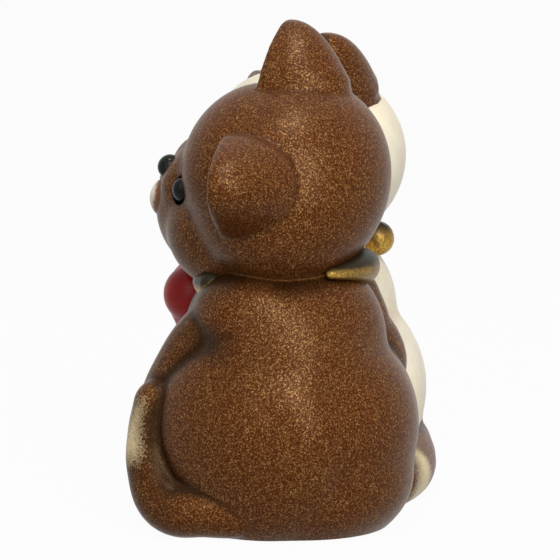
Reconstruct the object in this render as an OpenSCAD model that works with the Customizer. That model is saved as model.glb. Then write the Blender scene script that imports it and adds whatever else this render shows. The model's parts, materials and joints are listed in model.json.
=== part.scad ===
// Pair of hollow ceramic cats that sit side by side, luted together, with a heart between them.
// +Z is up and the cats face -Y. The brown cat sits at +X and the cream cat at -X.
// One cat is drawn facing -Y with its left at +X. The cream cat is its mirror image in another pose.

/* [Bodies] */
// Width of the rump
rump_w = 45; // [42:0.5:48]
// Length of the rump, front to back
rump_l = 47.5; // [44.5:0.5:50.5]
// Height of the rump's round mass
rump_h = 42; // [38:0.5:46]
// Height of the rump's middle above the ground
rump_z = 18; // [16:0.5:20]
// Width of the chest
chest_w = 34; // [31:0.5:37]
// Length of the chest, front to back
chest_l = 35; // [32:0.5:38]
// Height of the chest's round mass
chest_h = 34; // [31:0.5:37]
// Height of the chest's middle above the ground
chest_z = 33.5; // [31:0.5:36]
// Width of one shoulder
shoulder_w = 19.5; // [17.5:0.5:21.5]
// Length of one shoulder
shoulder_l = 22; // [20:0.5:24]
// Height of one shoulder
shoulder_h = 17; // [15:0.5:19]
// Distance of a shoulder from the cat's middle
shoulder_x = 9; // [8:0.25:10]
// Height of a shoulder's middle above the ground
shoulder_z = 39.5; // [38.5:0.25:40.5]
// Width of one haunch
haunch_w = 22; // [19:0.5:25]
// Length of one haunch
haunch_l = 36; // [32:0.5:39]
// Height of one haunch
haunch_h = 36; // [32:0.5:39]
// Distance of a haunch from the cat's middle
haunch_x = 12; // [10:0.5:14]
// Height of a haunch's middle above the ground
haunch_z = 16.5; // [14.5:0.5:18.5]
// Width of the seat that spreads on the ground
seat_w = 40; // [36:0.5:44]
// Length of the seat
seat_l = 41; // [37:0.5:45]
// Height of the seat's round mass
seat_h = 28; // [25:0.5:31]
// Height of the seat's middle above the ground
seat_z = 9; // [7:0.5:11]
// Thickness of the cast wall
wall = 4; // [3:0.25:5]
// Diameter of the drain hole in the base
drain_d = 8; // [5:0.5:10]

/* [Heads] */
// Width of the skull
skull_w = 41; // [38:0.5:44]
// Length of the skull, front to back
skull_l = 34.4; // [32:0.2:37]
// Height of the skull
skull_h = 33; // [30:0.5:36]
// Width of the forehead
forehead_w = 31.5; // [29:0.5:34]
// Length of the forehead's round mass
forehead_l = 25.5; // [23:0.5:28]
// Height of the forehead's round mass
forehead_h = 23.7; // [21.5:0.1:26]
// Width and length of one cheek
cheek_w = 24; // [22:0.5:26]
// Height of one cheek
cheek_h = 22; // [20:0.5:24]
// Distance of a cheek from the middle of the head
cheek_x = 6.5; // [5.5:0.25:7.5]
// Width of the snout
snout_w = 25; // [22:0.5:28]
// Length of the snout's round mass
snout_l = 25; // [22:0.5:28]
// Height of the snout
snout_h = 24.4; // [22:0.2:27]
// Distance of the snout in front of the head's middle
snout_y = 11.4; // [10.5:0.1:12.5]
// Drop of the snout below the head's middle
snout_drop = 6.2; // [5:0.1:7]
// Width of the bridge above the nose
bridge_w = 14.5; // [13:0.5:16]
// Length of the bridge's round mass, front to back
bridge_l = 12.4; // [11:0.2:14]
// Height of the bridge above the nose
bridge_h = 14; // [12:0.5:16]
// Diameter of the vent from the head into the neck
vent_d = 6; // [4:0.5:8]

/* [Ears] */
// Width of an ear at its root
ear_w = 17.5; // [15.5:0.5:19.5]
// Thickness of an ear behind its rim, at the root
ear_t = 11.2; // [10:0.2:12.4]
// How far the front of an ear bows out before its rim, at the root
ear_bow = 2.1; // [1.7:0.1:2.5]
// How far the rim of an ear lies in front of its seat
ear_y = 3.8; // [3.2:0.2:4.4]
// How far the rim of an ear leans back at its tip
ear_lean = 1; // [0:0.25:2]
// Depth of an ear's root below the crown of its seat
ear_root = 5; // [4:0.25:6]
// Height of an ear above the head
ear_h = 11.2; // [9.6:0.2:13]
// Depth of the hollow in the front of an ear
ear_hollow = 3.2; // [2.2:0.2:4]
// Height of the middle of that hollow above the ear's root
ear_hollow_z = 4; // [3:0.25:5]
// Width of the rim beside that hollow
ear_rim = 3; // [2.5:0.25:4]
// Turn of an ear's seat from straight ahead, in degrees
ear_turn = 103; // [99:1:107]
// Height of an ear's seat on the head, in degrees above level
ear_lift = 39; // [35:1:43]

/* [Faces] */
// Width of one muzzle pad
pad_w = 7.6; // [6.8:0.1:8.4]
// Height of one muzzle pad
pad_h = 7.4; // [6.6:0.1:8.2]
// How far a muzzle pad stands out of the snout
pad_out = 1.2; // [0.8:0.1:1.8]
// Turn of a muzzle pad from straight ahead, in degrees
pad_turn = 7; // [5.5:0.25:8.5]
// Drop of the muzzle pads below level, in degrees
pad_drop = 8; // [6:0.5:10]
// Width of the nose
nose_w = 5.2; // [4.4:0.1:6]
// Height of the nose
nose_h = 4.4; // [3.6:0.1:5]
// How far the nose stands out of the snout
nose_out = 2; // [1.4:0.1:2.6]
// Height of the nose above level, in degrees
nose_lift = 7; // [5:0.5:9]
// Diameter of an eye bead
eye_d = 4.4; // [3.6:0.1:5]
// How far an eye bead stands out of the head
eye_out = 2.2; // [1.6:0.1:2.6]
// Clearance round an eye bead in its socket
eye_gap = 0.15; // [0.1:0.05:0.3]
// Turn of an eye from straight ahead, in degrees
eye_turn = 28; // [26:0.5:31]
// Height of an eye above level, in degrees
eye_lift = 14; // [12:0.5:16]

/* [Collars] */
// Diameter of the collar's roll
collar_d = 5; // [4.2:0.1:5.8]
// Diameter of the ring along the middle of the roll
collar_ring = 27.4; // [26.4:0.2:29]
// Height of the collar's middle above the ground
collar_z = 43.6; // [42.6:0.1:44.6]
// Angle that the collar's front roll spans, in degrees
front_span = 108; // [100:1:116]
// Angle that the collar's back roll spans, in degrees
back_span = 64; // [56:1:72]
// Forward tilt of the collar, in degrees
collar_tilt = 4; // [0:0.5:6]

/* [Legs] */
// Turn at which a foreleg leaves the shoulder, in degrees from the front
leg_turn = 66; // [62:1:70]
// Height at which a foreleg leaves the shoulder
leg_z = 38; // [37:0.25:39]
// Turn of a standing forepaw from the front, in degrees
paw_turn = 12; // [10:1:14]
// Diameter of a foreleg at its top
leg_d = 14; // [12.5:0.25:15]
// Diameter of a foreleg at its wrist
wrist_d = 10; // [9:0.25:11]
// Width of a forepaw
paw_w = 11; // [10:0.25:12]
// Length of a forepaw
paw_l = 13; // [12:0.25:14]
// Height of a forepaw
paw_h = 8; // [7:0.25:9]
// Height of the brown cat's inner forepaw, behind its partner
hug_z = 21; // [19:0.25:23]
// Height of the cream cat's inner forepaw, under the heart
hold_z = 30; // [29:0.25:31]
// How far the elbow of the leg under the heart hangs below its paw
hold_dip = 1; // [0.5:0.25:1.5]
// Width of a hind foot
foot_w = 11.5; // [10.5:0.25:12.5]
// Length of a hind foot
foot_l = 19; // [17:0.5:21]
// Height of a hind foot
foot_h = 9.5; // [8.5:0.25:10.5]
// Turn of a hind foot from the front, in degrees
foot_turn = 28; // [25:1:31]
// How far a hind foot stands out of the body
foot_out = 5; // [4:0.25:6]

/* [Tails] */
// Diameter of a tail at its root
tail_root_d = 13.5; // [12:0.25:14.5]
// Diameter of a tail at its tip
tail_tip_d = 9.5; // [8.5:0.25:10.5]
// How far the middle of the brown cat's tail stands out of the body
tail_out = -0.5; // [-1:0.25:1]
// How deep a tail's root is sunk in the body
tail_sink = 6.5; // [6:0.25:7.5]
// Turn from the front at which the brown cat's tail starts, in degrees
brown_tail_start = 112; // [100:1:125]
// Turn from the front at which the brown cat's tail rises, in degrees
brown_tail_end = 42; // [39:1:46]
// Height of the raised tip of the brown cat's tail
brown_tip_h = 26.5; // [22:0.5:30]
// Turn from the front at which the cream cat's tail starts, in degrees
cream_tail_start = 190; // [185:1:195]
// Turn from the front at which the cream cat's tail ends, in degrees
cream_tail_end = 262; // [258:1:266]
// How far the tip of the cream cat's tail stands out of the body, behind its partner
cream_tip_out = 12.5; // [11:0.25:14]

/* [Heart] */
// Width of the heart
heart_w = 20; // [18:0.5:22]
// Height of the heart
heart_h = 18.5; // [17:0.5:20]
// Diameter of each of the heart's lobes
lobe_d = 11.2; // [10.5:0.1:12]
// Thickness of the heart
heart_t = 12; // [10:0.5:13]
// Diameter of the rounded point at the bottom of the heart
heart_point_d = 4; // [3:0.25:5]
// Distance of the heart's middle in front of the pair's middle
heart_y = 15; // [14:0.25:16]
// Height of the heart's middle above the ground
heart_z = 36; // [35:0.25:37]

/* [Pose of the brown cat] */
// How far the brown rump is pressed flat at the joint between the cats
brown_press = 1.5; // [0.75:0.25:2.25]
// Distance of the brown body behind the pair's middle
brown_y = 2.5; // [1:0.25:4]
// Distance of the brown head from the joint between the cats
brown_head_x = 20; // [19:0.25:21]
// Distance of the brown head behind the pair's middle
brown_head_y = 1.5; // [0.5:0.25:2.5]
// Height of the middle of the brown head
brown_head_z = 60.2; // [59.4:0.1:61]
// Turn of the brown head towards its partner, in degrees
brown_head_turn = 20; // [16:1:24]
// Tilt of the brown head away from its partner, in degrees
brown_head_tilt = 36; // [32:1:40]
// Lift of the brown cat's chin, in degrees
brown_head_lift = 0; // [-3:1:3]

/* [Pose of the cream cat] */
// How far the cream rump is pressed flat at the joint between the cats
cream_press = 3; // [1.5:0.25:3.5]
// Distance of the cream body behind the pair's middle
cream_y = 2; // [1:0.25:3]
// Distance of the cream head from the joint between the cats
cream_head_x = 19.5; // [19:0.25:21]
// Distance of the cream head behind the pair's middle
cream_head_y = 1.8; // [0.5:0.1:2.5]
// Height of the middle of the cream head
cream_head_z = 60.2; // [59.4:0.1:61]
// Turn of the cream head towards its partner, in degrees
cream_head_turn = 28; // [24:1:32]
// Tilt of the cream head away from its partner, in degrees
cream_head_tilt = 16; // [12:1:20]
// Lift of the cream cat's chin, in degrees
cream_head_lift = 0; // [-3:1:3]

/* [Both cats] */
// Distance of the joint between the cats from the middle of the pair, towards the brown cat
joint_x = -1.8; // [-4:0.1:4]
// Distance of the pair's middle in front of the middle of its box
joint_y = 1.55; // [-3:0.05:3]
// Turn of each body towards its partner, in degrees
body_turn = 25; // [22:1:28]

/* [Hidden] */

brown = 0;
cream = 1;
left = 1;
right = -1;
front = -1;
back = 1;

// Finish of each cat's coat, of its ears and tail, and of the trim
coat_color = ["#5a3417", "#e3d6b6"];
ear_color = ["#5a3417", "#5a3417"];
tail_color = ["#5a3417", "#5a3417"];
muzzle_color = "#e3d6b6";
bead_color = "#1d2420";
collar_color = "#8a6a2a";
heart_color = "#8b1512";

// Each cat's place and pose, brown then cream
body_at = [[rump_w / 2 - brown_press, brown_y, 0], [rump_w / 2 - cream_press, cream_y, 0]];
head_at = [
    [brown_head_x, brown_head_y, brown_head_z],
    [cream_head_x, cream_head_y, cream_head_z]
];
head_turn = [brown_head_turn, cream_head_turn];
head_tilt = [brown_head_tilt, cream_head_tilt];
head_lift = [brown_head_lift, cream_head_lift];

// Offsets of the round masses from the middle of the body, front to back
rump_y = 1;
haunch_y = 0.5;
shoulder_y = -1;
seat_y = 2.5;
// Middles of the head's round masses, from the middle of the head
skull_at = [0, 2.1, 0];
forehead_at = [0, -3, 4.7];
bridge_at = [0, -13.3, 2.5];
cheek_y = -5.5;
cheek_z = -5.5;

// How sharply the round masses of a body and of a head flow into one another
body_blend = 16;
head_blend = 40;
// Angle at which a round end is closed flat, and share of an ear's height at which its tip is
near_pole = 86;
ear_blunt = 0.985;
// Share of a muzzle pad's size that the lip between the pads has
lip_share = 0.8;
// Turn over which a tail comes out of the body
tail_rise = 15;

// Facets round a casting and from its bottom to its top, with half as many in its hollow
around = 32;
upward = 16;
// Facets round a limb, in each of its round ends and along it
limb_around = 12;
limb_ends = 3;
leg_steps = 10;
tail_steps = 18;
// Facets round an ear and up it
ear_around = 16;
ear_rows = 9;
// Facets of a collar's whole ring and of a small round detail
collar_facets = 36;
bead_facets = 18;
// Length that is longer than the whole pair
beyond = 200;

// Turns of a foreleg from its shoulder to its paw, standing, behind the partner and under the heart
standing_turns = [leg_turn, leg_turn - 26, paw_turn + 6, paw_turn];
hugging_turns = [110, 116, 113, 98];
holding_turns = [leg_turn, 58, 44, 30];

// Routes of the forelegs along the body, as [turn from the front, height, distance out of the body]
standing_route = [
    [standing_turns[0], leg_z, -leg_d / 3],
    [standing_turns[1], leg_z * 3 / 4, -leg_d / 12],
    [standing_turns[2], leg_z / 2, -wrist_d / 4],
    [standing_turns[3], paw_h / 2, paw_h / 8]
];
// The brown cat lays its inner foreleg behind its partner
hugging_route = [
    [hugging_turns[0], leg_z, -leg_d / 3],
    [hugging_turns[1], leg_z - leg_d / 3, -wrist_d / 10],
    [hugging_turns[2], leg_z - leg_d * 6 / 7, wrist_d / 10],
    [hugging_turns[3], hug_z, 0]
];
// The cream cat holds the heart with its inner foreleg
holding_route = [
    [holding_turns[0], leg_z, -leg_d / 3],
    [holding_turns[1], (leg_z + hold_z) / 2 - hold_dip, -wrist_d / 10],
    [holding_turns[2], hold_z - hold_dip, -wrist_d / 10],
    [holding_turns[3], hold_z, paw_h / 5]
];
reaching_route = [hugging_route, holding_route];

// Routes of the tails: round the outer side of the brown cat, and behind both cats
tail_route = [
    [
        [brown_tail_start, tail_root_d / 2, tail_out - tail_sink],
        [brown_tail_start - tail_rise, tail_root_d / 2, tail_out],
        [brown_tail_end, tail_tip_d / 2, tail_out],
        [brown_tail_end, brown_tip_h - tail_tip_d / 2, tail_out]
    ],
    [
        [cream_tail_start, tail_root_d / 2, -tail_sink],
        [cream_tail_start + tail_rise, tail_root_d / 2, -tail_sink / 2],
        [cream_tail_end - 2 * tail_rise, tail_tip_d / 2, -tail_sink / 2],
        [cream_tail_end, tail_tip_d / 2, cream_tip_out]
    ]
];

function sum(v) = v * [for (x = v) 1];
function unit(v) = v / norm(v);

// Direction by its turn from the front and its lift above level
function aim(turn, lift) = [sin(turn) * cos(lift), -cos(turn) * cos(lift), sin(lift)];

// Where a ray from a point leaves one round mass, as a length
function leave(mass, from, along) =
    let (
        p = [for (i = [0 : 2]) (from[i] - mass[0][i]) / mass[1][i]],
        q = [for (i = [0 : 2]) along[i] / mass[1][i]],
        root = pow(p * q, 2) - (q * q) * (p * p - 1)
    )
    root <= 0 ? 0 : max(0, (sqrt(root) - p * q) / (q * q));

// Where a ray leaves all the masses, flowed into one form
function reach(masses, from, along, blend) =
    pow(sum([for (m = masses) pow(leave(m, from, along), blend)]), 1 / blend);

// Round masses as [middle, half sizes], drawn in by an inset
function inset_masses(masses, inset) =
    [for (m = masses) [m[0], m[1] / 2 - [inset, inset, inset]]];

function body_masses(inset) = inset_masses([
    [[0, rump_y, rump_z], [rump_w, rump_l, rump_h]],
    [[0, 0, chest_z], [chest_w, chest_l, chest_h]],
    [[0, seat_y, seat_z], [seat_w, seat_l, seat_h]],
    for (side = [left, right]) each [
        [[side * haunch_x, haunch_y, haunch_z], [haunch_w, haunch_l, haunch_h]],
        [[side * shoulder_x, shoulder_y, shoulder_z], [shoulder_w, shoulder_l, shoulder_h]]
    ]
], inset);

function head_masses(inset) = inset_masses([
    [skull_at, [skull_w, skull_l, skull_h]],
    [forehead_at, [forehead_w, forehead_l, forehead_h]],
    [[0, -snout_y, -snout_drop], [snout_w, snout_l, snout_h]],
    [bridge_at, [bridge_w, bridge_l, bridge_h]],
    for (side = [left, right]) [[side * cheek_x, cheek_y, cheek_z], [cheek_w, cheek_w, cheek_h]]
], inset);

// Point on the body's surface at a height and a turn from the front
function on_body(turn, z, inset = 0) =
    let (middle = [0, rump_y, z])
    middle + aim(turn, 0) * reach(body_masses(inset), middle, aim(turn, 0), body_blend);

// Distance of the head's surface from the head's middle
function head_reach(along, inset = 0) = reach(head_masses(inset), [0, 0, 0], along, head_blend);

// Closed skin over rings of points that run anticlockwise about the way they advance
module skin(rings) {
    n = len(rings[0]);
    last = len(rings) - 1;
    polyhedron(
        points = [for (ring = rings) each ring],
        faces = concat(
            [[for (j = [0 : n - 1]) j]],
            [[for (j = [n - 1 : -1 : 0]) last * n + j]],
            [for (i = [0 : last - 1], j = [0 : n - 1])
                [i * n + j, (i + 1) * n + j, (i + 1) * n + (j + 1) % n]],
            [for (i = [0 : last - 1], j = [0 : n - 1])
                [i * n + j, (i + 1) * n + (j + 1) % n, i * n + (j + 1) % n]]
        )
    );
}

// Ring of points about a middle, square to the way it faces
function hoop(middle, facing, side, r) =
    let (u = unit(side - facing * (side * facing)), v = cross(facing, u))
    [for (j = [0 : limb_around - 1])
        middle + r * (cos(360 * j / limb_around) * u + sin(360 * j / limb_around) * v)];

function heading(points, i) = unit(points[min(i + 1, len(points) - 1)] - points[max(i - 1, 0)]);

// Round limb along a list of points, with round ends
module limb(points, diameters, sides) {
    last = len(points) - 1;
    skin([for (i = [-limb_ends : last + limb_ends])
        let (
            k = min(last, max(0, i)),
            bow = near_pole * (i - k) / limb_ends,
            r = diameters[k] / 2
        )
        hoop(points[k] + heading(points, k) * r * sin(bow), heading(points, k), sides[k], r * cos(bow))]);
}

// Curve through four guide points
function curve(p, t) =
    pow(1 - t, 3) * p[0] + 3 * t * pow(1 - t, 2) * p[1] + 3 * t * t * (1 - t) * p[2] + pow(t, 3) * p[3];

// Ellipsoid of given overall sizes
module ovoid(size) scale(size) sphere(d = 1, $fn = bead_facets);

// One fired casting, so that it meets its neighbours face to face
module cast() resize([0, 0, 0]) union() children();

// Moves a piece drawn for one cat to that cat's place
module side_of(cat) translate([joint_x, -joint_y, 0]) mirror([cat, 0, 0]) children();
module in_body(cat) side_of(cat) translate(body_at[cat]) rotate([0, 0, -body_turn]) children();
module in_head(cat)
    side_of(cat) translate(head_at[cat]) rotate([0, 0, -head_turn[cat]]) rotate([0, head_tilt[cat], 0])
        rotate([-head_lift[cat], 0, 0]) children();

// Moves a piece drawn for the cat's left to its left or right. The cream cat's sides are mirrored.
module hand(cat, side) mirror([side * (1 - 2 * cat) < 0 ? 1 : 0, 0, 0]) children();

// Stands a piece on the head's surface, with its +Z outwards
module on_head(turn, lift, out = 0)
    translate(aim(turn, lift) * (head_reach(aim(turn, lift)) + out))
        rotate([0, 90 - lift, turn - 90]) children();

// The partner's side of the flat joint between the cats
module partner_side(cat) side_of(cat) translate([-beyond, -beyond / 2, -beyond / 2]) cube(beyond);

// The ground that the pair stands on
module ground() translate([-beyond / 2, -beyond / 2, -beyond]) cube(beyond);

module body_form(inset = 0) {
    top = chest_z + chest_h / 2 - inset;
    steps = inset > 0 ? upward / 2 : upward;
    facets = inset > 0 ? around / 2 : around;
    skin([for (i = [0 : steps])
        let (z = inset + (top - inset) * sin(near_pole * i / steps))
        [for (j = [0 : facets - 1]) on_body(360 * j / facets, z, inset)]]);
}

module body(cat) color(coat_color[cat]) cast() difference() {
    in_body(cat) difference() {
        body_form();
        body_form(wall);
        translate([0, rump_y, -wall]) cylinder(d = drain_d, h = 3 * wall);
    }
    in_head(cat) head_form();
    partner_side(cat);
}

module head_form(inset = 0) {
    steps = inset > 0 ? upward / 2 : upward;
    facets = inset > 0 ? around / 2 : around;
    skin([for (i = [0 : steps])
        let (lift = near_pole * (2 * i / steps - 1))
        [for (j = [0 : facets - 1])
            aim(360 * j / facets, lift) * head_reach(aim(360 * j / facets, lift), inset)]]);
}

module eye_seat(spare)
    on_head(eye_turn, eye_lift, eye_out - eye_d / 2) sphere(d = eye_d + 2 * spare, $fn = bead_facets);

module head(cat) color(coat_color[cat]) cast() difference() {
    in_head(cat) difference() {
        head_form();
        head_form(wall);
        for (side = [left, right]) hand(cat, side) eye_seat(eye_gap);
    }
    side_of(cat) translate(head_at[cat] - [0, 0, skull_w]) cylinder(d = vent_d, h = skull_w);
    partner_side(cat);
}

module eye(cat, side) color(bead_color) in_head(cat) hand(cat, side) eye_seat(0);

module ear_form() {
    difference() {
        skin([for (i = [-1 : ear_rows])
            let (
                t = min(ear_blunt, max(0, i / ear_rows)),
                taper = sqrt(1 - t),
                z = i < 0 ? -ear_root : t * ear_h
            )
            [for (j = [0 : ear_around - 1])
                let (across = sin(360 * j / ear_around))
                [cos(360 * j / ear_around) * ear_w / 2 * taper,
                 across * (across > 0 ? ear_t : ear_bow) * taper + ear_lean * t - ear_y,
                 z]]]);
        translate([0, -ear_y - ear_bow, ear_hollow_z]) ovoid([ear_w - 2 * ear_rim, 2 * ear_hollow, ear_h]);
    }
}

module ear(cat, side) color(ear_color[cat]) cast() difference() {
    seat = aim(ear_turn, ear_lift);
    in_head(cat) hand(cat, side) translate(seat * head_reach(seat)) rotate([0, 90 - ear_lift, 0]) ear_form();
    in_head(cat) head_form();
}

// Two pads with a lip between them
module muzzle_form() {
    for (side = [left, right])
        on_head(side * pad_turn, -pad_drop, pad_out - pad_w / 2) ovoid([pad_h, pad_w, pad_w]);
    on_head(0, -pad_drop, pad_out * lip_share - pad_w / 2) ovoid([pad_h * lip_share, pad_w, pad_w]);
}

module muzzle(cat) color(muzzle_color) cast() difference() {
    in_head(cat) muzzle_form();
    in_head(cat) head_form();
}

module nose(cat) color(bead_color) cast() in_head(cat) difference() {
    on_head(0, nose_lift, nose_out - nose_h / 2) ovoid([nose_h, nose_w, nose_h]);
    head_form();
    muzzle_form();
}

// The collar is two rolls, one before and one behind the shoulders
function collar_span(way) = way == front ? front_span : back_span;
module collar_form(cat, way) in_body(cat) translate([0, 0, collar_z]) rotate([collar_tilt, 0, 0])
    rotate([0, 0, way * 90 - collar_span(way) / 2])
        rotate_extrude(angle = collar_span(way), $fn = collar_facets)
            translate([collar_ring / 2, 0]) circle(d = collar_d, $fn = limb_around);

module collar(cat, way) color(collar_color) cast() difference() {
    collar_form(cat, way);
    in_head(cat) head_form();
    in_body(cat) body_form();
}

// Route along the body's surface by guides of [turn, height, distance out of the body]
function body_route(guides, steps) = [for (i = [0 : steps])
    let (g = curve(guides, i / steps))
    on_body(g[0], g[1]) + aim(g[0], 0) * g[2]];

// Foreleg along such a route, with its paw at the end
module foreleg_form(guides) {
    route = body_route(guides, leg_steps);
    limb(route,
        [for (i = [0 : leg_steps]) leg_d + (wrist_d - leg_d) * i / leg_steps],
        [for (i = [0 : leg_steps]) aim(curve(guides, i / leg_steps)[0] + 90, 0)]);
    translate(route[leg_steps]) rotate([0, 0, guides[3][0]]) ovoid([paw_w, paw_l, paw_h]);
}

module outer_leg_form(cat) in_body(cat) foreleg_form(standing_route);
module inner_leg_form(cat) in_body(cat) mirror([1, 0, 0]) foreleg_form(reaching_route[cat]);

module outer_leg(cat) color(coat_color[cat]) cast() difference() {
    outer_leg_form(cat);
    in_body(cat) body_form();
    in_head(cat) head_form();
    collar_form(cat, front);
    ground();
}

module inner_leg(cat) color(coat_color[cat]) cast() difference() {
    inner_leg_form(cat);
    heart_form();
    if (cat == cream) partner_side(cat);
    for (each_cat = [brown, cream]) {
        in_body(each_cat) body_form();
        in_head(each_cat) head_form();
        for (way = [front, back]) collar_form(each_cat, way);
    }
}

module foot_form() {
    toe = on_body(foot_turn, foot_h / 2);
    translate(toe + [0, foot_l / 2 - foot_out, 0]) ovoid([foot_w, foot_l, foot_h]);
}

module hind_foot(cat, side) color(coat_color[cat]) cast() difference() {
    in_body(cat) hand(cat, side) foot_form();
    in_body(cat) body_form();
    outer_leg_form(cat);
    partner_side(cat);
    ground();
}

module tail_form(cat) {
    limb(body_route(tail_route[cat], tail_steps),
        [for (i = [0 : tail_steps]) tail_root_d + (tail_tip_d - tail_root_d) * i / tail_steps],
        [for (i = [0 : tail_steps]) aim(curve(tail_route[cat], i / tail_steps)[0], 0)]);
}

module tail(cat) color(tail_color[cat]) cast() difference() {
    in_body(cat) tail_form(cat);
    for (each_cat = [brown, cream]) in_body(each_cat) body_form();
    outer_leg_form(cat);
    for (side = [left, right]) in_body(cat) hand(cat, side) foot_form();
    ground();
}

module heart_form() {
    translate([joint_x, -joint_y - heart_y, heart_z]) scale([1, heart_t / lobe_d, 1])
        for (side = [left, right]) hull() {
            translate([side * (heart_w - lobe_d) / 2, 0, (heart_h - lobe_d) / 2])
                sphere(d = lobe_d, $fn = bead_facets);
            translate([0, 0, (heart_point_d - heart_h) / 2])
                sphere(d = heart_point_d, $fn = bead_facets);
        }
}

module heart() color(heart_color) cast() difference() {
    heart_form();
    for (cat = [brown, cream]) {
        in_body(cat) body_form();
        in_head(cat) head_form();
        collar_form(cat, front);
    }
}

body(brown);  // brown_body
head(brown);  // brown_head
ear(brown, left);  // brown_ear_left
ear(brown, right);  // brown_ear_right
muzzle(brown);  // brown_muzzle
nose(brown);  // brown_nose
eye(brown, left);  // brown_eye_left
eye(brown, right);  // brown_eye_right
collar(brown, front);  // brown_collar_front
collar(brown, back);  // brown_collar_back
outer_leg(brown);  // brown_foreleg_left
inner_leg(brown);  // brown_foreleg_right
hind_foot(brown, left);  // brown_hind_foot_left
hind_foot(brown, right);  // brown_hind_foot_right
tail(brown);  // brown_tail
body(cream);  // cream_body
head(cream);  // cream_head
ear(cream, left);  // cream_ear_left
ear(cream, right);  // cream_ear_right
muzzle(cream);  // cream_muzzle
nose(cream);  // cream_nose
eye(cream, left);  // cream_eye_left
eye(cream, right);  // cream_eye_right
collar(cream, front);  // cream_collar_front
collar(cream, back);  // cream_collar_back
inner_leg(cream);  // cream_foreleg_left
outer_leg(cream);  // cream_foreleg_right
hind_foot(cream, left);  // cream_hind_foot_left
hind_foot(cream, right);  // cream_hind_foot_right
tail(cream);  // cream_tail
heart();
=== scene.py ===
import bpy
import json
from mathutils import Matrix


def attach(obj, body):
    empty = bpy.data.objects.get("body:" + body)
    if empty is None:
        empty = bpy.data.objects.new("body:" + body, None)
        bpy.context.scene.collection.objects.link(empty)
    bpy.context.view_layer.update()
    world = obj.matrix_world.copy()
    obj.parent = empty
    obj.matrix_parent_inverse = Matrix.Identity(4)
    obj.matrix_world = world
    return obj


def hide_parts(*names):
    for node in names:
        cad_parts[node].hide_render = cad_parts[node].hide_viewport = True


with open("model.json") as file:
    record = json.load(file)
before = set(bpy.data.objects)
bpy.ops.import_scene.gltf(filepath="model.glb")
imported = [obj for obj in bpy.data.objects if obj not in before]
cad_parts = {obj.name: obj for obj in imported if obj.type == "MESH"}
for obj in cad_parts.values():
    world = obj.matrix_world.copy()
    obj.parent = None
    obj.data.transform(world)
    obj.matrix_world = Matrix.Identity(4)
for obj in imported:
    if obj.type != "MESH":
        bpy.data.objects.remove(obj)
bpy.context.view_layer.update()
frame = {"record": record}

import json
import math

import bpy
import numpy as np
from mathutils import Matrix, Vector
from mathutils.bvhtree import BVHTree
from mathutils.kdtree import KDTree

mm = 0.001  # every size below is written in millimetres
midHeight = 40  # about half-way up the cats


def pick(*things):
    bpy.ops.object.select_all(action="DESELECT")
    for thing in things:
        thing.select_set(True)
    bpy.context.view_layer.objects.active = things[0]


def drop(*things):
    for thing in things:
        bpy.data.objects.remove(thing)


def twin(thing):
    copy = thing.copy()
    copy.data = thing.data.copy()
    bpy.context.collection.objects.link(copy)
    return copy


def useModifiers(thing):
    pick(thing)
    for modifier in list(thing.modifiers):
        bpy.ops.object.modifier_apply(modifier=modifier.name)
    return thing


# a ball of clay, stretched to its sizes
def ball(at, size, segments=48):
    bpy.ops.object.select_all(action="DESELECT")
    bpy.ops.mesh.primitive_uv_sphere_add(segments=segments, ring_count=segments // 2, radius=0.5)
    bpy.ops.object.mode_set(mode="EDIT")
    bpy.ops.transform.resize(value=[s * mm for s in size])
    bpy.ops.transform.translate(value=[a * mm for a in at])
    bpy.ops.object.mode_set(mode="OBJECT")
    return bpy.context.active_object


def ballsOf(lumps):
    return [ball(*lump) for group in lumps.values() for lump in group]


# a roll of clay along points, with its own width at each and round ends
def roll(points, widths, swell=0, rounded=True):
    bpy.ops.object.select_all(action="DESELECT")
    bpy.ops.curve.primitive_bezier_curve_add()
    path = bpy.context.active_object
    line = path.data.splines[0]
    line.bezier_points.add(len(points) - 2)
    for knot, point, width in zip(line.bezier_points, points, widths):
        knot.co = [p * mm for p in point]
        knot.handle_left_type = knot.handle_right_type = "AUTO"
        knot.radius = width / 2 + swell
    path.data.bevel_depth = mm
    path.data.bevel_resolution = 8
    path.data.resolution_u = 10
    path.data.use_fill_caps = True
    pick(path)
    bpy.ops.object.convert(target="MESH")
    path = bpy.context.active_object
    if not rounded:
        return [path]
    ends = [ball(points[i], [widths[i] + 2 * swell] * 3, segments=32) for i in (0, -1)]
    return [path] + ends


# presses the lumps into one form and wipes the joins smooth
def press(name, lumps, voxel, wipes):
    pick(*lumps)
    bpy.ops.object.join()
    form = bpy.context.active_object
    form.name = name
    remesh = form.modifiers.new("clay", "REMESH")
    remesh.mode = "VOXEL"
    remesh.voxel_size = voxel * mm
    wipe = form.modifiers.new("wipe", "SMOOTH")
    wipe.factor = 0.5
    wipe.iterations = wipes
    return useModifiers(form)


def grow(form, amount):
    swell = form.modifiers.new("swell", "DISPLACE")
    swell.strength = amount * mm
    swell.mid_level = 0
    return useModifiers(form)


def carve(piece, tool, operation="DIFFERENCE"):
    cut = piece.modifiers.new("cut", "BOOLEAN")
    cut.operation = operation
    cut.solver = "MANIFOLD"
    cut.object = tool
    return useModifiers(piece)


def moved(form, matrix):
    form.data.transform(matrix)
    if matrix.determinant() < 0:
        form.data.flip_normals()
    return form


# block that covers one side of a plane
def halfSpace(axis, edge, sign):
    block = 200  # more than twice the pair
    at = [0, 0, midHeight]
    at[axis] = edge + sign * block / 2
    bpy.ops.object.select_all(action="DESELECT")
    bpy.ops.mesh.primitive_cube_add(size=block * mm, location=[a * mm for a in at])
    bpy.ops.object.transform_apply(location=True, rotation=False, scale=False)
    return bpy.context.active_object


def pointsOf(piece):
    place = np.empty(len(piece.data.vertices) * 3)
    piece.data.vertices.foreach_get("co", place)
    return place.reshape(-1, 3) / mm


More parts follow.
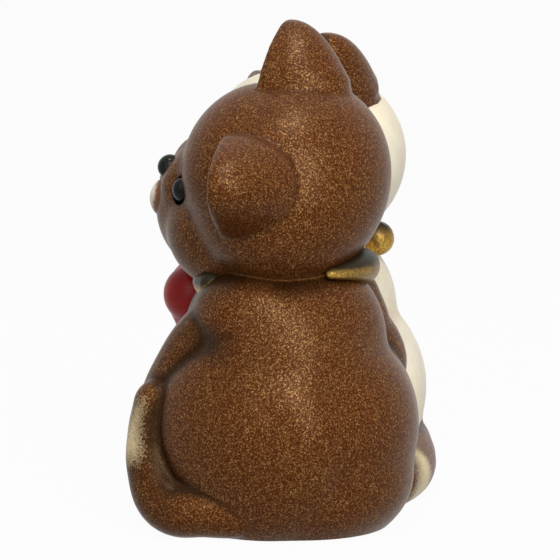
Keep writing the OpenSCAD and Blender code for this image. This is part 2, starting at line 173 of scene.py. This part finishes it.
def normalsOf(piece):
    normal = np.empty(len(piece.data.vertices) * 3)
    piece.data.vertices.foreach_get("normal", normal)
    return normal.reshape(-1, 3)


# how far each point stands above (+) or below (-) the surface around it, in mm
def measureBend(form, spread):
    mesh = form.data
    count = len(mesh.vertices)
    edges = np.empty(len(mesh.edges) * 2, dtype=np.int32)
    mesh.edges.foreach_get("vertices", edges)
    one, two = edges.reshape(-1, 2).T
    links = np.bincount(one, minlength=count) + np.bincount(two, minlength=count)
    place = pointsOf(form)
    soft = place
    for i in range(spread):
        soft = np.stack([
            (np.bincount(one, soft[two, k], count) + np.bincount(two, soft[one, k], count)) / links
            for k in range(3)], axis=1)
    return ((place - soft) * normalsOf(form)).sum(axis=1)


def smoothStep(low, high, value):
    share = np.clip((value - low) / (high - low), 0, 1)
    return share * share * (3 - 2 * share)


def store(piece, name, values):
    old = piece.data.attributes.get(name)
    if old:
        piece.data.attributes.remove(old)
    mark = piece.data.attributes.new(name, "FLOAT", "POINT")
    mark.data.foreach_set("value", np.asarray(values, dtype=np.float32))


def bendOf(piece):
    bend = np.empty(len(piece.data.vertices), dtype=np.float32)
    piece.data.attributes["bend"].data.foreach_get("value", bend)
    return bend


# copies a form's measured bend to a piece that was cut from it
def takeBend(piece, form, bend):
    tree = KDTree(len(form.data.vertices))
    for i, vertex in enumerate(form.data.vertices):
        tree.insert(vertex.co, i)
    tree.balance()
    return np.array([bend[tree.find(vertex.co)[1]] for vertex in piece.data.vertices])


# distance of each of a piece's points from its neighbours, in mm
def nearest(piece, others, reach=12):
    gap = np.full(len(piece.data.vertices), float(reach))
    for other in others:
        tree = BVHTree.FromObject(other, bpy.context.evaluated_depsgraph_get())
        for i, vertex in enumerate(piece.data.vertices):
            distance = tree.find_nearest(vertex.co, reach * mm)[3]
            if distance is not None:
                gap[i] = min(gap[i], distance / mm)
    return gap


def turnOf(degrees, axis):
    return Matrix.Rotation(math.radians(degrees), 4, axis)


def shiftOf(point):
    return Matrix.Translation([p * mm for p in point])


# where the two cats meet, and how each sits and holds its head
pair = {"joint": (-1.8, -1.55, 0), "bodyTurn": 25}
cats = {
    "brown": {"flip": 1, "body": (21, 2.5, 0), "head": (20, 1.5, 60.2), "turn": 20, "tilt": 36},
    "cream": {"flip": -1, "body": (19.5, 2, 0), "head": (19.5, 1.8, 60.2), "turn": 28, "tilt": 16},
}
for cat in cats.values():
    side = shiftOf(pair["joint"]) @ Matrix.Diagonal((cat["flip"], 1, 1, 1))
    cat["bodyPlace"] = side @ shiftOf(cat["body"]) @ turnOf(-pair["bodyTurn"], "Z")
    cat["headPlace"] = side @ shiftOf(cat["head"]) @ turnOf(-cat["turn"], "Z") @ turnOf(cat["tilt"], "Y")
    cat["pieces"] = {}

# the bodies: one pear-shaped torso, pressed once and copied
torsoLumps = {
    "rump": [((0, 0.3, 17.3), (45.5, 46.3, 42))],
    "chest": [((0, 0, 32.5), (34.5, 35.5, 33))],
    "back": [((3, 2.5, 25.2), (35, 33, 43.5))],
    "seat": [((0, 2.5, 9), (40, 41, 28))],
    "haunches": [((side * 12.5, 0.5, 16.5), (22.5, 37, 37)) for side in (-1, 1)],
    "shoulders": [((side * 9, -1, 37.6), (19, 22, 17)) for side in (-1, 1)],
}
torso = grow(press("torso", ballsOf(torsoLumps), voxel=0.6, wipes=60), 0.45)

# the limbs, as points on the torso of a cat that faces -Y, with a width at each
limbs = {
    "standing": {
        "points": [(10.6, -4.6, 36.4), (10.8, -9.4, 32.2), (10.8, -13.3, 27.2), (9.3, -17.8, 20.5),
                   (7.2, -19.8, 14.4), (5.3, -19.4, 8.8), (4, -17.9, 4)],
        "widths": [13.4, 13, 12.4, 11.6, 11, 10.4, 10],
        "paw": ((4, -18.4, 4), (11, 13, 8)),
    },
    "hugging": {
        "points": [(-11.5, 5.2, 38), (-12.7, 6.2, 35.4), (-14.4, 6.8, 32.5), (-17.6, 7.3, 29.5),
                   (-20.4, 7.2, 26.5), (-22.3, 6, 23.6), (-23.2, 4.3, 21)],
        "widths": [14, 13.3, 12.6, 12, 11.3, 10.6, 10],
        "paw": ((-23.2, 4.3, 21), (11, 13, 8)),
    },
    "holding": {
        "points": [(-13.1, -4.8, 38), (-13.4, -6.3, 35.6), (-13.2, -7.8, 33.5), (-13.3, -10.1, 31.8),
                   (-13, -12.5, 30.5), (-12, -14.9, 29.9), (-10.6, -17.3, 30)],
        "widths": [14, 13.3, 12.6, 12, 11.3, 10.6, 10],
        "paw": ((-10.6, -17.3, 30), (12, 11, 8)),
    },
    "outerFoot": {"paw": ((8.9, -11.2, 4.8), (11.5, 19, 9.5))},
    "innerFoot": {"paw": ((-8.9, -11.2, 4.8), (11.5, 19, 9.5))},
    "curledTail": {
        "points": [(12.5, 7, 6.5), (15.8, 3.2, 5), (19.8, -4.2, 4.8), (20.4, -11.4, 5.4),
                   (18.6, -15.6, 11), (16.8, -16.7, 16.8), (15.6, -16.4, 21.8)],
        "widths": [11, 9, 9.2, 10, 9.6, 9.3, 9],
    },
    "laidTail": {
        "points": [(-2.7, 16.2, 6.8), (-6.3, 16.9, 6.5), (-11.2, 16.2, 5.9), (-18, 14.4, 5.3),
                   (-22.3, 12.6, 5), (-27.3, 9.8, 4.8), (-32.9, 5.6, 4.8)],
        "widths": [13.5, 12.6, 11.7, 10.8, 10.4, 9.9, 9.5],
    },
}
catLimbs = {
    "brown": {"foreleg_left": "standing", "foreleg_right": "hugging", "hind_foot_left": "outerFoot",
              "hind_foot_right": "innerFoot", "tail": "curledTail"},
    "cream": {"foreleg_right": "standing", "foreleg_left": "holding", "hind_foot_right": "outerFoot",
              "hind_foot_left": "innerFoot", "tail": "laidTail"},
}
# how far a cut runs outside a limb or ear, and how deep these are set into torso and skull
joins = {"swell": 0.5, "limbDepth": 2.5, "earDepth": 2}


def limbLumps(limb, swell=0):
    lumps = []
    if "points" in limb:
        lumps += roll(limb["points"], limb["widths"], swell)
    if "paw" in limb:
        at, size = limb["paw"]
        lumps.append(ball(at, [s + 2 * swell for s in size]))
    return lumps


ground = halfSpace(axis=2, edge=0, sign=-1)
core = grow(twin(torso), -joins["limbDepth"])
for name, cat in cats.items():
    lumps = [twin(torso)]
    for limb in catLimbs[name].values():
        lumps += limbLumps(limbs[limb])
    form = press(name + "Form", lumps, voxel=0.4, wipes=5)
    bend = measureBend(form, spread=40)
    taken = None
    for part, limb in catLimbs[name].items():
        tool = press("tool", limbLumps(limbs[limb], joins["swell"]), voxel=0.6, wipes=2)
        carve(tool, core)
        if taken:
            carve(tool, taken)
        cat["pieces"][part] = carve(twin(form), tool, "INTERSECT")
        if taken:
            carve(taken, tool, "UNION")
            drop(tool)
        else:
            taken = tool
    cat["pieces"] = {"body": carve(twin(form), taken), **cat["pieces"]}
    drop(taken)
    for piece in cat["pieces"].values():
        store(piece, "bend", takeBend(piece, form, bend))
        moved(piece, cat["bodyPlace"])
        carve(piece, ground)
    drop(form)
    print(name, "body and limbs", {part: len(p.data.polygons) for part, p in cat["pieces"].items()})
drop(core, ground, torso)

# the head: skull and snout, with the ears that stand on it
headLumps = {
    "skull": [((0, 2.1, 0), (41, 34.4, 33))],
    "forehead": [((0, -3, 4.7), (31.5, 25.5, 23.7))],
    "bridge": [((0, -13.7, 1.2), (15, 12.2, 12))],
    "bridgeSides": [((side * 2.8, -14.8, 0.6), (12.5, 13, 10.8)) for side in (-1, 1)],
    "snout": [((0, -11.9, -6.7), (25.4, 25.4, 25))],
    "cheeks": [((side * 6, -6, -5.5), (25, 28, 23)) for side in (-1, 1)],
}
# an ear on the +X side: the outer one stands up, the inner one leans forward
ear = {
    "seat": (14.4, 3.4, 11.7), "tilt": 51, "leans": (1.5, 12),
    "high": 11.2, "wide": 17.5, "deep": 22.5, "root": 5, "blunt": 0.985,
    "middle": (-3.8, -2.4), "front": (-5.9, -2.9), "hollow": ((0, -6.3, 4), (11.5, 6.5, 12)),
}
mirrorX = Matrix.Diagonal((-1, 1, 1, 1))


def earPlace(lean):
    return shiftOf(ear["seat"]) @ turnOf(ear["tilt"], "Y") @ turnOf(lean, "X")


# a domed ear with a flat front
def earForm(lean, swell=0):
    base, top = ear["middle"]
    points, widths = [(0, base, -ear["root"])], [ear["deep"]]
    steps = 10
    for i in range(steps + 1):
        rise = min(i / steps, ear["blunt"])
        points.append((0, base + (top - base) * rise, ear["high"] * rise))
        widths.append(ear["deep"] * math.sqrt(1 - rise))
    dome = press("dome", roll(points, widths, swell, rounded=False), voxel=0.4, wipes=12)
    moved(dome, Matrix.Diagonal((ear["wide"] / ear["deep"], 1, 1, 1)))
    low, high = ear["front"]
    slope = math.degrees(math.atan2(high - low, ear["high"]))
    front = moved(halfSpace(axis=1, edge=0, sign=-1), shiftOf((0, low - swell, 0)) @ turnOf(-slope, "X"))
    carve(dome, front)
    drop(front)
    return moved(dome, earPlace(lean))


def bothSides(form):
    return [form, moved(twin(form), mirrorX)]


skull = grow(press("skull", ballsOf(headLumps), voxel=0.5, wipes=50), 0.25)
skullCore = grow(twin(skull), -joins["earDepth"])
ears, earTools = [], []
for lean in ear["leans"]:
    form = earForm(lean)
    hollow = moved(ball(*ear["hollow"]), earPlace(lean))
    carve(form, hollow)
    drop(hollow)
    ears.append(form)
    earTools.append(carve(earForm(lean, joins["swell"]), skullCore))
moved(ears[1], mirrorX)
moved(earTools[1], mirrorX)
headForm = press("headForm", [twin(skull)] + ears, voxel=0.4, wipes=8)
headBend = measureBend(headForm, spread=40) / 2  # halved, so the painted crease shade, the ochre and the pale rims are fainter on the head
headPieces = {"head": twin(headForm)}
for part, tool in zip(("ear_left", "ear_right"), earTools):
    headPieces[part] = carve(twin(headForm), tool, "INTERSECT")
    carve(headPieces["head"], tool)
drop(skull, skullCore, *earTools)

# the face: two muzzle pads, a nose and two eye beads deep in their slots, whose walls are painted dark:
# partly a dark line round each eye, partly painted shade in the recess
face = {"pad": ((2.4, -21.1, -3), (8, 7.8, 7.8)), "nose": ((0, -20.9, 2.4), (4.6, 4.2, 4))}
eye = {"at": (8, -14.3, 4.2), "size": (4, 4, 4.8),
       "slot": ((7.8, -14, 3.8), (5.4, 5.6, 7)), "slotLineAndShade": (0.02, 0.2)}
muzzle = press("muzzle", bothSides(ball(*face["pad"])), voxel=0.25, wipes=4)
nose = press("nose", [ball(*face["nose"])], voxel=0.2, wipes=3)
carve(nose, muzzle)
for piece in (muzzle, nose):
    carve(piece, headForm)
headPieces["muzzle"] = muzzle
headPieces["nose"] = nose
headPieces["eye_left"], headPieces["eye_right"] = bothSides(ball(eye["at"], eye["size"]))
slots = bothSides(ball(*eye["slot"]))
for slot in slots:
    carve(headPieces["head"], slot)
for piece in headPieces.values():
    store(piece, "bend", takeBend(piece, headForm, headBend))
# the slot walls darkened: a painted dark eye line and painted shade in the recess
slotLineAndShade = 1 - smoothStep(*eye["slotLineAndShade"], nearest(headPieces["head"], slots, reach=1))
store(headPieces["head"], "bend", bendOf(headPieces["head"]) - slotLineAndShade)
drop(*slots)

# the cream cat's head is the brown one's mirror image, so left and right change places
otherHand = {"ear_left": "ear_right", "ear_right": "ear_left",
             "eye_left": "eye_right", "eye_right": "eye_left"}
for cat in cats.values():
    for part, piece in headPieces.items():
        if cat["flip"] < 0:
            part = otherHand.get(part, part)
        cat["pieces"][part] = moved(twin(piece), cat["headPlace"])
    cat["skull"] = moved(twin(headForm), cat["headPlace"])
    carve(cat["pieces"]["body"], cat["skull"])
drop(headForm, *headPieces.values())
print("heads", {part: len(p.data.polygons) for part, p in cats["brown"]["pieces"].items()})

# the collars: two clay rolls round each neck, one before and one behind the shoulders
collar = {"rings": {"brown": 27.4, "cream": 29.4}, "height": 43.6}
rolls = {"collar_front": {"span": (-144, -36), "widths": (5, 5), "tilt": 4},
         "collar_back": {"span": (66, 122), "widths": (1.8, 6.4), "tilt": 9}}


def collarRoll(ring, span, widths, tilt):
    points, thick = [], []
    steps = 12
    for i in range(steps + 1):
        angle = math.radians(span[0] + (span[1] - span[0]) * i / steps)
        points.append((ring / 2 * math.cos(angle), ring / 2 * math.sin(angle), 0))
        thick.append(widths[0] + (widths[1] - widths[0]) * i / steps)
    form = press("collar", roll(points, thick), voxel=0.25, wipes=3)
    return moved(form, shiftOf((0, 0, collar["height"])) @ turnOf(tilt, "X"))


for name, cat in cats.items():
    for part, shape in rolls.items():
        piece = moved(collarRoll(collar["rings"][name], **shape), cat["bodyPlace"])
        carve(piece, cat["skull"])
        carve(piece, cat["pieces"]["body"])
        cat["pieces"][part] = piece

# the heart between the cats
heartLook = {"wide": 20, "high": 18.5, "thick": 12, "lobe": 11.2, "point": 4, "at": (0, -15, 34.3)}


def heartLobe(side):
    lobe, point = heartLook["lobe"], heartLook["point"]
    top = (side * (heartLook["wide"] - lobe) / 2, 0, (heartLook["high"] - lobe) / 2)
    tip = (0, 0, (point - heartLook["high"]) / 2)
    shares = (0, 0.25, 0.5, 0.75, 1)
    path = [tuple(a + (b - a) * t for a, b in zip(top, tip)) for t in shares]
    return roll(path, [lobe + (point - lobe) * t for t in shares])


heart = press("heart", heartLobe(-1) + heartLobe(1), voxel=0.3, wipes=3)
store(heart, "bend", measureBend(heart, spread=30))
flatten = Matrix.Diagonal((1, heartLook["thick"] / heartLook["lobe"], 1, 1))
moved(heart, shiftOf(pair["joint"]) @ shiftOf(heartLook["at"]) @ flatten)

# each cat keeps to its own side of the joint, and its limbs clear what they lie against
forelegs = ("foreleg_left", "foreleg_right")
for cat in cats.values():
    partner = halfSpace(axis=0, edge=pair["joint"][0], sign=-cat["flip"])
    for part in ("body", "head", "hind_foot_left", "hind_foot_right"):
        carve(cat["pieces"][part], partner)
    drop(partner)
for name, cat in cats.items():
    own = cat["pieces"]
    other = cats["cream" if name == "brown" else "brown"]
    for form in (other["pieces"]["body"], other["skull"]):
        for part in (*forelegs, "tail"):
            carve(own[part], form)
    for part in forelegs:
        for form in (cat["skull"], own["collar_front"], own["collar_back"]):
            carve(own[part], form)
    for form in (own["body"], own["collar_front"], cat["skull"]):
        carve(heart, form)
for cat in cats.values():
    for part in forelegs:
        carve(heart, cat["pieces"][part])
    drop(cat.pop("skull"))
print("collars and heart")

# ivory brushed on the tips of the tails, with a mist of brown towards the brown cat's body
tips = {"brown": {"axis": 2, "reach": (9, 16)}, "cream": {"axis": 0, "reach": (-5, 2)}, "mist": (0.3, 7.5)}
# lustre left off: the collars' upward faces, and the thick end of the brown cat's back roll
unlustred = {"back": 0.75, "backFacing": (-0.2, 0.9), "frontFacing": (-0.9, 0.5),
             "end": {"brown": 0.4, "cream": 0}, "endReach": (8, 17)}
# painted shade: the head's shadow under it and on the front of the shoulders, and shade towards the cats'
# fronts, which face away from the brighter lamps; on the tail it also stands for its own darker brown
paintedShade = {
    "underHead": 0.45, "headReach": (0.4, 7),
    "front": {"body": 0.12, "foreleg_left": 0.1, "foreleg_right": 0.1, "tail": 0.42},
    "frontReach": (-19, -8),
    "shoulder": 0.24, "shoulderReach": (-12, 0), "shoulderRise": (25, 36),
}
# a pale line painted along the neck seam
neckSeam = {"paleEdge": 0.9, "reach": (0.1, 0.4)}
muzzleMist = (0, 1.2)

brownCat = cats["brown"]["pieces"]
for name, cat in cats.items():
    tail = cat["pieces"]["tail"]
    back = cat["pieces"]["collar_back"]
    front = cat["pieces"]["collar_front"]
    along = pointsOf(tail)[:, tips[name]["axis"]]
    inner = nearest(tail, [brownCat["body"], brownCat["foreleg_left"]])
    store(tail, "ivory", smoothStep(*tips[name]["reach"], along) * smoothStep(*tips["mist"], inner))
    facing = smoothStep(*unlustred["backFacing"], normalsOf(back)[:, 2])
    end = smoothStep(*unlustred["endReach"], pointsOf(back)[:, 1])
    store(back, "upper", unlustred["back"] * facing + unlustred["end"][name] * end)
    store(front, "upper", smoothStep(*unlustred["frontFacing"], normalsOf(front)[:, 2]))
    for part, frontShade in paintedShade["front"].items():
        piece = cat["pieces"][part]
        y, z = pointsOf(piece).T[1:]
        below = nearest(piece, [cat["pieces"]["head"]], reach=8)
        # painted shadow under the head and painted shade towards the front and on the front of the
        # shoulder, taken off the bend so the glazes darken there
        shade = paintedShade["underHead"] * (1 - smoothStep(*paintedShade["headReach"], below))
        shade += frontShade * (1 - smoothStep(*paintedShade["frontReach"], y))
        forward = 1 - smoothStep(*paintedShade["shoulderReach"], y)
        shade += paintedShade["shoulder"] * forward * smoothStep(*paintedShade["shoulderRise"], z)
        # a pale line painted along the neck seam, given the bend of a pale rim
        seam = 1 - smoothStep(*neckSeam["reach"], below)
        store(piece, "bend", (bendOf(piece) - shade) * (1 - seam) + neckSeam["paleEdge"] * seam)
muzzle = brownCat["muzzle"]
store(muzzle, "soil", 1 - smoothStep(*muzzleMist, nearest(muzzle, [brownCat["head"]])))
print("brush marks")


def linear(code):
    parts = [int(code[i:i + 2], 16) / 255 for i in (1, 3, 5)]
    return [p / 12.92 if p <= 0.04045 else ((p + 0.055) / 1.055) ** 2.4 for p in parts] + [1]


# adds a node with its settings and links, and gives it back
def node(tree, kind, inputs=None, **settings):
    made = tree.nodes.new("ShaderNode" + kind)
    for key, value in settings.items():
        setattr(made, key, value)
    for key, value in (inputs or {}).items():
        if isinstance(value, bpy.types.NodeSocket):
            tree.links.new(value, made.inputs[key])
        else:
            made.inputs[key].default_value = value
    return made


def newMaterial(name):
    material = bpy.data.materials.new(name)
    material.use_nodes = True
    tree = material.node_tree
    return material, tree, tree.nodes["Principled BSDF"]


# speckled engobe: golden brown slip with fine curly flecks of pale gold, fired to a satin skin,
# with painted shade in the creases, under the head and towards the cats' fronts, paler on the sharp rims
# (partly wear, partly a painted highlight), ivory on the tips of the tails
def speckledEngobe():
    material, tree, skin = newMaterial("speckledBrownEngobe")
    place = node(tree, "TexCoord").outputs["Object"]
    curl = node(tree, "TexNoise", {
        "Vector": place, "Scale": 1 / (0.4 * mm), "Detail": 1.0}).outputs["Fac"]
    grain = node(tree, "TexNoise", {
        "Vector": place, "Scale": 1 / (0.35 * mm), "Detail": 2.0}).outputs["Fac"]
    blotch = node(tree, "TexNoise", {
        "Vector": place, "Scale": 1 / (8 * mm), "Detail": 3.0}).outputs["Fac"]
    bend = node(tree, "Attribute", attribute_name="bend").outputs["Fac"]
    ivory = node(tree, "Attribute", attribute_name="ivory").outputs["Fac"]
    # warm and cool brown in blotches, mottled with dark grains
    warm = node(tree, "MapRange", {
        "Value": blotch, "From Min": 0.35, "From Max": 0.65}).outputs["Result"]
    ground = node(tree, "Mix", {
        "Factor": warm, "A": linear("#562709"), "B": linear("#5b3412")}, data_type="RGBA")
    mottle = node(tree, "MapRange", {
        "Value": grain, "From Min": 0.35, "From Max": 0.7}).outputs["Result"]
    coat = node(tree, "Mix", {
        "Factor": mottle, "A": linear("#3e1a05"), "B": ground.outputs["Result"]}, data_type="RGBA")
    # curly flecks: thin level lines of one noise, broken into dashes by another
    line = node(tree, "Math", {0: curl, 1: 0.5, 2: 0.04}, operation="COMPARE").outputs[0]
    dash = node(tree, "MapRange", {
        "Value": grain, "From Min": 0.4, "From Max": 0.62, "To Max": 0.56}).outputs["Result"]
    golden = node(tree, "Math", {0: line, 1: dash}, operation="MULTIPLY").outputs[0]
    coat = node(tree, "Mix", {
        "Factor": golden, "A": coat.outputs["Result"], "B": linear("#b88c58")}, data_type="RGBA")
    # painted shade in the creases and wherever the bend was lowered for shade, paler on the rims: partly
    # wear, partly a painted highlight
    deep = node(tree, "MapRange", {
        "Value": bend, "From Min": -0.03, "From Max": -0.36, "To Max": 0.85}).outputs["Result"]
    coat = node(tree, "Mix", {
        "Factor": deep, "A": coat.outputs["Result"], "B": linear("#1a0c03")}, data_type="RGBA")
    paleEdge = node(tree, "MapRange", {
        "Value": bend, "From Min": 0.45, "From Max": 0.9, "To Max": 0.5}).outputs["Result"]
    coat = node(tree, "Mix", {
        "Factor": paleEdge, "A": coat.outputs["Result"], "B": linear("#a07a50")}, data_type="RGBA")
    # ivory over it, with a grainy edge
    spray = node(tree, "Math", {0: grain, 1: 0.7, 2: ivory}, operation="MULTIPLY_ADD").outputs[0]
    pale = node(tree, "MapRange", {
        "Value": spray, "From Min": 0.6, "From Max": 1.25}).outputs["Result"]
    coat = node(tree, "Mix", {
        "Factor": pale, "A": coat.outputs["Result"], "B": linear("#d2bf95")}, data_type="RGBA")
    tree.links.new(coat.outputs["Result"], skin.inputs["Base Color"])
    glint = node(tree, "Math", {0: golden, 1: 0.55}, operation="MULTIPLY").outputs[0]
    tree.links.new(glint, skin.inputs["Metallic"])
    bump = node(tree, "Bump", {"Height": grain, "Strength": 0.5, "Distance": 0.06 * mm})
    tree.links.new(bump.outputs["Normal"], skin.inputs["Normal"])
    skin.inputs["Roughness"].default_value = 0.33
    skin.inputs["Specular IOR Level"].default_value = 0.13
    skin.inputs["Specular Tint"].default_value = linear("#ffdcad")
    return material


# ivory glaze: cream slip under a thin satin glaze, with ochre airbrushed in the hollows that also carries
# painted shade under the cream cat's head and towards its front, and a brown mist on the muzzle
def ivoryGlaze():
    material, tree, skin = newMaterial("ivorySatinGlaze")
    place = node(tree, "TexCoord").outputs["Object"]
    cloud = node(tree, "TexNoise", {
        "Vector": place, "Scale": 1 / (5 * mm), "Detail": 4.0}).outputs["Fac"]
    spray = node(tree, "TexNoise", {
        "Vector": place, "Scale": 1 / (0.8 * mm), "Detail": 3.0}).outputs["Fac"]
    bend = node(tree, "Attribute", attribute_name="bend").outputs["Fac"]
    soil = node(tree, "Attribute", attribute_name="soil").outputs["Fac"]
    soft = node(tree, "MapRange", {
        "Value": cloud, "From Min": 0.35, "From Max": 0.7}).outputs["Result"]
    ground = node(tree, "Mix", {
        "Factor": soft, "A": linear("#e6dabd"), "B": linear("#f1e7d0")}, data_type="RGBA")
    # ochre: airbrushed in the hollows, and painted shade where the bend was lowered under the head and
    # towards the front
    deep = node(tree, "MapRange", {
        "Value": bend, "From Min": -0.02, "From Max": -0.45, "To Max": 0.8}).outputs["Result"]
    coat = node(tree, "Mix", {
        "Factor": deep, "A": ground.outputs["Result"], "B": linear("#a87b3f")}, data_type="RGBA")
    mist = node(tree, "Math", {0: spray, 1: 0.8, 2: soil}, operation="MULTIPLY_ADD").outputs[0]
    brown = node(tree, "MapRange", {
        "Value": mist, "From Min": 0.5, "From Max": 1.15}).outputs["Result"]
    coat = node(tree, "Mix", {
        "Factor": brown, "A": coat.outputs["Result"], "B": linear("#6b3f1a")}, data_type="RGBA")
    tree.links.new(coat.outputs["Result"], skin.inputs["Base Color"])
    skin.inputs["Roughness"].default_value = 0.38
    skin.inputs["Specular IOR Level"].default_value = 0.35
    return material


# black glaze: thick, glossy, with a green cast
def blackGlaze():
    material, tree, skin = newMaterial("blackGlossGlaze")
    place = node(tree, "TexCoord").outputs["Object"]
    cloud = node(tree, "TexNoise", {
        "Vector": place, "Scale": 1 / (2 * mm), "Detail": 2.0}).outputs["Fac"]
    soft = node(tree, "MapRange", {
        "Value": cloud, "From Min": 0.35, "From Max": 0.7}).outputs["Result"]
    coat = node(tree, "Mix", {
        "Factor": soft, "A": linear("#080a07"), "B": linear("#161c14")}, data_type="RGBA")
    tree.links.new(coat.outputs["Result"], skin.inputs["Base Color"])
    skin.inputs["Roughness"].default_value = 0.2
    skin.inputs["Specular IOR Level"].default_value = 0.12
    return material


# gold lustre: a thin metal film brushed by hand over a dark glossy ground that shows on top of the roll
def goldLustre():
    material, tree, skin = newMaterial("goldLustre")
    place = node(tree, "TexCoord").outputs["Object"]
    cloud = node(tree, "TexNoise", {
        "Vector": place, "Scale": 1 / (2.2 * mm), "Detail": 4.0}).outputs["Fac"]
    spark = node(tree, "TexNoise", {
        "Vector": place, "Scale": 1 / (0.4 * mm), "Detail": 2.0}).outputs["Fac"]
    upper = node(tree, "Attribute", attribute_name="upper").outputs["Fac"]
    bare = node(tree, "Math", {0: cloud, 1: 0.5, 2: upper}, operation="MULTIPLY_ADD").outputs[0]
    gold = node(tree, "MapRange", {
        "Value": bare, "From Min": 1.05, "From Max": 0.2}).outputs["Result"]
    glint = node(tree, "MapRange", {
        "Value": spark, "From Min": 0.4, "From Max": 0.7}).outputs["Result"]
    leaf = node(tree, "Mix", {
        "Factor": glint, "A": linear("#9c7832"), "B": linear("#d2aa58")}, data_type="RGBA")
    film = node(tree, "Mix", {
        "Factor": gold, "A": linear("#2a2314"), "B": leaf.outputs["Result"]}, data_type="RGBA")
    tree.links.new(film.outputs["Result"], skin.inputs["Base Color"])
    metal = node(tree, "MapRange", {"Value": gold, "To Max": 0.85}).outputs["Result"]
    tree.links.new(metal, skin.inputs["Metallic"])
    skin.inputs["Roughness"].default_value = 0.34
    skin.inputs["Specular IOR Level"].default_value = 0.12
    return material


# red glaze: opaque, satin, with painted shade in the cleft
def redGlaze():
    material, tree, skin = newMaterial("redSatinGlaze")
    place = node(tree, "TexCoord").outputs["Object"]
    cloud = node(tree, "TexNoise", {
        "Vector": place, "Scale": 1 / (4 * mm), "Detail": 3.0}).outputs["Fac"]
    bend = node(tree, "Attribute", attribute_name="bend").outputs["Fac"]
    soft = node(tree, "MapRange", {
        "Value": cloud, "From Min": 0.35, "From Max": 0.7}).outputs["Result"]
    coat = node(tree, "Mix", {
        "Factor": soft, "A": linear("#9a0f0d"), "B": linear("#ad1813")}, data_type="RGBA")
    # painted shade in the cleft and creases
    deep = node(tree, "MapRange", {
        "Value": bend, "From Min": -0.03, "From Max": -0.3, "To Max": 0.85}).outputs["Result"]
    coat = node(tree, "Mix", {
        "Factor": deep, "A": coat.outputs["Result"], "B": linear("#260504")}, data_type="RGBA")
    tree.links.new(coat.outputs["Result"], skin.inputs["Base Color"])
    skin.inputs["Roughness"].default_value = 0.34
    skin.inputs["Specular IOR Level"].default_value = 0.2
    return material


finishes = {
    "brown_engobe": speckledEngobe(), "ivory_glaze": ivoryGlaze(), "dark_gloss_glaze": blackGlaze(),
    "gold_lustre": goldLustre(), "red_glaze": redGlaze(),
}
slotOf = {part["node"]: part["material_slot"] for part in frame["record"]["subparts"]}
creaseAngle = 40


def deliver(piece, nodeName):
    piece.name = nodeName.replace("_", " ").title().replace(" ", "")
    pick(piece)
    bpy.ops.object.shade_smooth_by_angle(angle=math.radians(creaseAngle))
    piece.data.materials.clear()
    piece.data.materials.append(finishes[slotOf[nodeName]])
    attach(piece, "root")
    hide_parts(nodeName)


for name, cat in cats.items():
    for part, piece in cat["pieces"].items():
        deliver(piece, name + "_" + part)
deliver(heart, "heart")

# pale floor and white room, soft boxes and the camera of the photograph
paper = {"size": 6000, "colour": "#b0b0b0", "roughness": 0.9, "white": 0.96}  # the rest shows the shadow
room = {"colour": "#ffffff", "lit": 0.1, "seen": 1.0}
lampDistance = 900
lamps = {
    "softBoxLeft": {"azimuth": 66, "height": 26, "size": (300, 800), "watts": 1.3},
    "softBoxRight": {"azimuth": 122, "height": 28, "size": (300, 800), "watts": 5},
    "softBoxFront": {"azimuth": 100, "height": 44, "size": (300, 500), "watts": 3.4},
    "softBoxTop": {"azimuth": 102, "height": 84, "size": (250, 250), "watts": 2.6},
}
look = {"azimuth": 95, "height": 8, "distance": 620, "lens": 219.2, "sensor": 36, "shift": -1 / 560}


# 1 for the rays that see a plain white backdrop: from the camera, through glass and off gloss
def backdropRays(tree):
    rays = node(tree, "LightPath").outputs
    shown = rays["Is Camera Ray"]
    for kind in ("Is Transmission Ray", "Is Glossy Ray"):
        shown = node(tree, "Math", {0: shown, 1: rays[kind]}, operation="MAXIMUM").outputs[0]
    return shown


bpy.ops.object.select_all(action="DESELECT")
bpy.ops.mesh.primitive_plane_add(size=paper["size"] * mm)
floor = bpy.context.active_object
floor.name = "Floor"
material, tree, skin = newMaterial("paperFloor")
skin.inputs["Base Color"].default_value = linear(paper["colour"])
skin.inputs["Roughness"].default_value = paper["roughness"]
seen = node(tree, "Math", {0: backdropRays(tree), 1: paper["white"]}, operation="MULTIPLY")
white = node(tree, "Emission", {"Color": linear(room["colour"]), "Strength": room["seen"]})
sheet = node(tree, "MixShader", {0: seen.outputs[0], 1: skin.outputs[0], 2: white.outputs[0]})
tree.links.new(sheet.outputs[0], tree.nodes["Material Output"].inputs["Surface"])
floor.data.materials.append(material)

scene = bpy.context.scene
world = bpy.data.worlds.new("studio")
scene.world = world
world.use_nodes = True
tree = world.node_tree
strength = node(tree, "MapRange", {
    "Value": backdropRays(tree), "To Min": room["lit"], "To Max": room["seen"]})
tree.links.new(strength.outputs["Result"], tree.nodes["Background"].inputs["Strength"])
tree.nodes["Background"].inputs["Color"].default_value = linear(room["colour"])

aim = Vector((pair["joint"][0], pair["joint"][1], midHeight)) * mm


# puts a lamp or the camera round the cats, facing them
def placeAround(thing, azimuth, height, distance):
    turn, rise = math.radians(azimuth), math.radians(height)
    away = Vector((math.sin(turn) * math.cos(rise), -math.cos(turn) * math.cos(rise), math.sin(rise)))
    thing.location = aim + distance * mm * away
    thing.rotation_euler = (aim - thing.location).to_track_quat("-Z", "Y").to_euler()
    scene.collection.objects.link(thing)


for name, box in lamps.items():
    lamp = bpy.data.lights.new(name, "AREA")
    lamp.shape = "RECTANGLE"
    lamp.size, lamp.size_y = [s * mm for s in box["size"]]
    lamp.energy = box["watts"]
    placeAround(bpy.data.objects.new(name, lamp), box["azimuth"], box["height"], lampDistance)

camera = bpy.data.objects.new("camera", bpy.data.cameras.new("camera"))
placeAround(camera, look["azimuth"], look["height"], look["distance"])
camera.data.lens = look["lens"]
camera.data.sensor_width = look["sensor"]
camera.data.shift_x = look["shift"]  # one pixel of the photograph's width
scene.camera = camera
scene.view_settings.view_transform = "Standard"
print("floor, lamps and camera")
